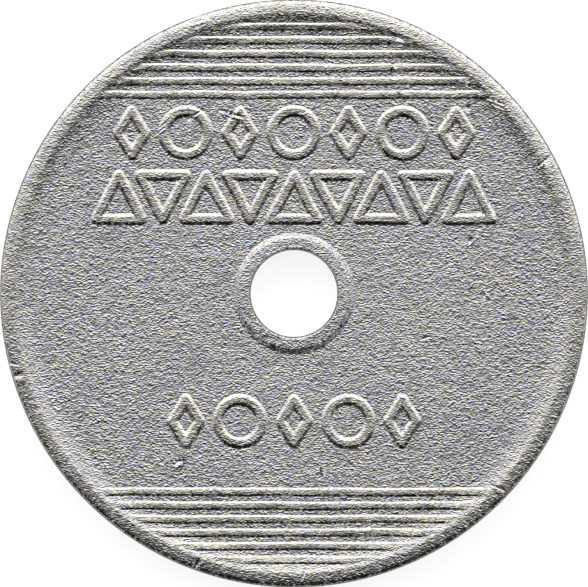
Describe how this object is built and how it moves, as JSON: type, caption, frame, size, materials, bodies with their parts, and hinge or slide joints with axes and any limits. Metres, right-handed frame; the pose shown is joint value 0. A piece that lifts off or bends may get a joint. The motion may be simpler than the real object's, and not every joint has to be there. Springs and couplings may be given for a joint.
{
  "type": "transit token",
  "caption": "Round aluminium fare token struck in one piece, with a pierced centre hole, a rim and collar on both faces, bands of raised lines and plain geometric marks.",
  "frame": {"origin": "centre of the hole, on the plane of the lower rim that the token rests on", "axes": "+Z along the hole, out of the upper face; +Y towards the upper line band, next to the two rows of marks; +X to the right as the upper face is read"},
  "size_m": [0.025, 0.025, 0.0018],
  "materials": {
    "struck_aluminium": "grained satin, worn brighter on the rim, collar and relief"
  },
  "bodies": {
    "root": {"token_disc": "struck_aluminium"}
  },
  "joints": []
}
